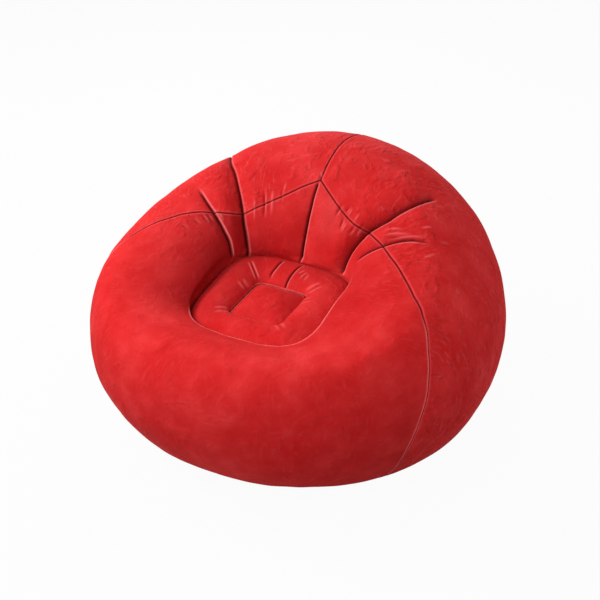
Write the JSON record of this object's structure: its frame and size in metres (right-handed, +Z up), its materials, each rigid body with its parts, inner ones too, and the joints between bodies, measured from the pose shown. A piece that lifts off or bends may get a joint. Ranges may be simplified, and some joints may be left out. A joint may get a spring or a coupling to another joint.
{
  "type": "inflatable pouf chair",
  "caption": "Flocked inflatable one-seat pouf chair with a rounded backrest and arms, a ring-shaped seat with a small square centre, inner webs and a screw-in air valve.",
  "frame": {"origin": "on the floor, under the middle of the chair's bounding box", "axes": "+Z up; -Y the way the sitter faces; +X to the sitter's left"},
  "size_m": [1.07, 1.06, 0.6977],
  "materials": {
    "flocked_skin": "matte",
    "inner_vinyl": "satin",
    "valve_plastic": "satin",
    "gasket_rubber": "matte"
  },
  "bodies": {
    "root": {"front_panel": "flocked_skin", "back_panel_left": "flocked_skin", "back_panel_right": "flocked_skin", "seat_ring_panel": "flocked_skin", "seat_centre_panel": "flocked_skin", "base_panel": "flocked_skin", "centre_web": "inner_vinyl", "back_web_left": "inner_vinyl", "back_web_right": "inner_vinyl", "arm_web_left": "inner_vinyl", "arm_web_right": "inner_vinyl", "seat_groove_web": "inner_vinyl", "seat_tie_back": "inner_vinyl", "seat_tie_front": "inner_vinyl", "seat_tie_left": "inner_vinyl", "seat_tie_right": "inner_vinyl", "valve_patch": "inner_vinyl", "valve_base": "valve_plastic"},
    "gasket": {"valve_gasket": "gasket_rubber"},
    "insert": {"valve_insert": "valve_plastic", "cap_tether": "valve_plastic"},
    "flap": {"valve_flap": "valve_plastic"},
    "cap": {"valve_cap": "valve_plastic"}
  },
  "joints": [
    {"name": "gasket_lift", "type": "slide", "parent": "root", "child": "gasket", "axis": [-0.4275, 0.8205, -0.3796], "range_m": [0, 0.01]},
    {"name": "insert_turn", "type": "hinge", "parent": "gasket", "child": "insert", "pos_m": [-0.2349, 0.43901, 0.16], "axis": [-0.4275, 0.8205, -0.3796], "range_deg": [0, 900]},
    {"name": "cap_swing", "type": "hinge", "parent": "insert", "child": "cap", "pos_m": [-0.25318, 0.44143, 0.15565], "axis": [-0.1754, 0.3366, 0.9252], "range_deg": [0, 150]},
    {"name": "flap_swing", "type": "hinge", "parent": "insert", "child": "flap", "pos_m": [-0.24148, 0.4326, 0.16108], "axis": [0.1754, -0.3366, -0.9252], "range_deg": [0, 55]}
  ],
  "couplings": [
    {"joint": "gasket_lift", "follows": "insert_turn", "m_per_rad": 0.00063662}
  ]
}
